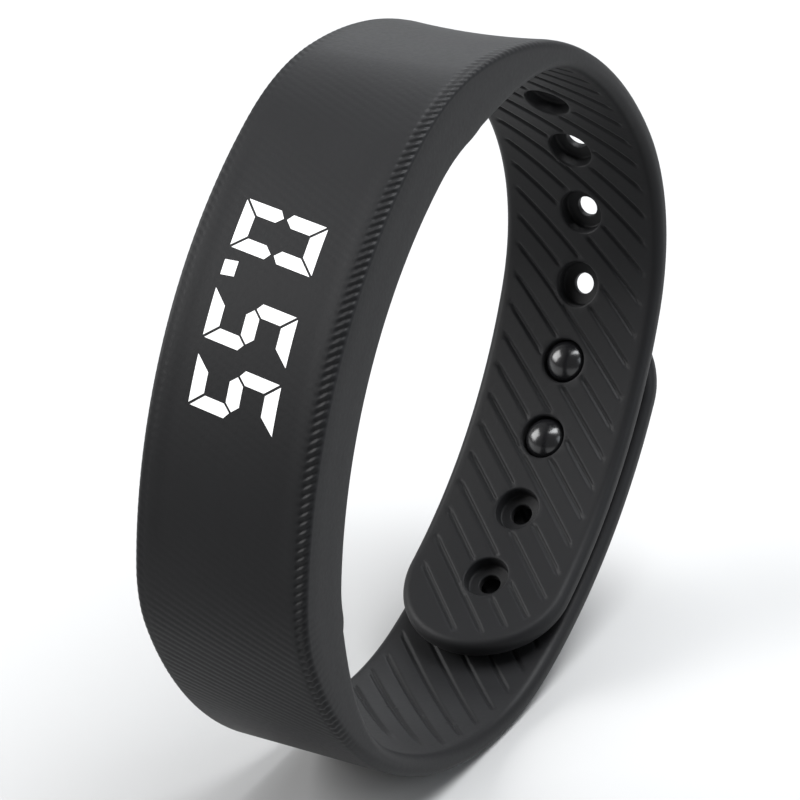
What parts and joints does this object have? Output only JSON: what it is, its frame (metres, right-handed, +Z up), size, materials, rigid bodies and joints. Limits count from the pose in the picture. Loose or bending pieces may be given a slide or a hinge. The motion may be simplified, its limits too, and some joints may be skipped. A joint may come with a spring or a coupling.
{
  "type": "fitness tracker band",
  "caption": "Closed silicone wristband with a thick sleeve holding a sealed tracker capsule, lit digits in its face, and a strap with stepped holes held by a stud clasp.",
  "frame": {"origin": "middle of the closed loop, half way across the band's width", "axes": "+Y along the wrist, through the loop; +Z up as the loop stands; the display faces -X and up, and the clasp is at +X"},
  "size_m": [0.0713, 0.0182, 0.0692],
  "materials": {
    "band_rubber": "matte moulded silicone rubber",
    "clasp_plastic": "fine satin moulded",
    "stud_gloss": "polished domes",
    "case_plastic": "fine moulded",
    "seal_rubber": "smooth",
    "window_smoke": "smoked clear plastic",
    "block_white": "matte white",
    "digit_white": "lit white light guide",
    "led_chip": "clear resin over phosphor",
    "board_green": "solder resist",
    "chip_black": "moulded resin",
    "crystal_metal": "pressed lid",
    "capacitor_tan": "ceramic",
    "cell_foil": "pouch foil",
    "tape_white": "foam tape",
    "lead_insulation": "smooth",
    "contact_gold": "gold plated",
    "switch_metal": "stamped",
    "key_plastic": "fine moulded"
  },
  "bodies": {
    "band": {"sleeve": "band_rubber", "pocket_lip": "band_rubber"},
    "stud_tail_1": {"stud_strap_lower": "band_rubber"},
    "stud_tail_2": {"stud_strap_middle": "band_rubber"},
    "stud_tail_3": {"stud_strap_end": "band_rubber", "clasp_plate": "clasp_plastic", "clasp_studs": "stud_gloss"},
    "hole_tail": {"hole_strap": "band_rubber", "strap_hole_lips": "band_rubber"},
    "capsule": {"front_case": "case_plastic", "back_cover": "case_plastic", "case_seal": "seal_rubber", "display_window": "window_smoke", "light_block": "block_white", "digit_one": "digit_white", "decimal_point": "digit_white", "digit_two": "digit_white", "digit_three": "digit_white", "display_leds": "led_chip", "flex_board": "board_green", "microcontroller": "chip_black", "motion_sensor": "chip_black", "crystal": "crystal_metal", "chip_capacitors": "capacitor_tan", "battery_cell": "cell_foil", "battery_tape": "tape_white", "battery_leads": "lead_insulation", "charge_contacts": "contact_gold", "key_switch": "switch_metal"},
    "key": {"press_key": "key_plastic", "switch_plunger": "key_plastic"}
  },
  "joints": [
    {"name": "strap_open", "type": "hinge", "parent": "band", "child": "stud_tail_1", "pos_m": [-0.01683, 0, -0.03128], "axis": [0, 1, 0], "range_deg": [0, 30], "stiffness_Nm_per_rad": 0.03, "deforming": ["strap_hole_lips"]},
    {"name": "strap_open_under", "type": "hinge", "parent": "stud_tail_1", "child": "stud_tail_2", "pos_m": [0.00101, 0, -0.03447], "axis": [0, 1, 0], "range_deg": [0, 30], "stiffness_Nm_per_rad": 0.03},
    {"name": "strap_open_clasp", "type": "hinge", "parent": "stud_tail_2", "child": "stud_tail_3", "pos_m": [0.01777, 0, -0.02728], "axis": [0, 1, 0], "range_deg": [0, 30], "stiffness_Nm_per_rad": 0.03},
    {"name": "hole_strap_open", "type": "hinge", "parent": "band", "child": "hole_tail", "pos_m": [0.02321, 0, 0.02687], "axis": [0, -1, 0], "range_deg": [0, 15], "stiffness_Nm_per_rad": 0.03},
    {"name": "capsule_slide", "type": "slide", "parent": "band", "child": "capsule", "axis": [0.8192, 0, -0.5736], "range_m": [0, 0.014], "deforming": ["pocket_lip"]},
    {"name": "key_press", "type": "slide", "parent": "capsule", "child": "key", "axis": [0.9537, 0, -0.3007], "range_m": [0, 0.00025], "stiffness_N_per_m": 600}
  ],
  "couplings": [
    {"joint": "strap_open_under", "follows": "strap_open", "ratio": 1},
    {"joint": "strap_open_clasp", "follows": "strap_open", "ratio": 1},
    {"joint": "hole_strap_open", "follows": "strap_open", "ratio": 0.5}
  ]
}
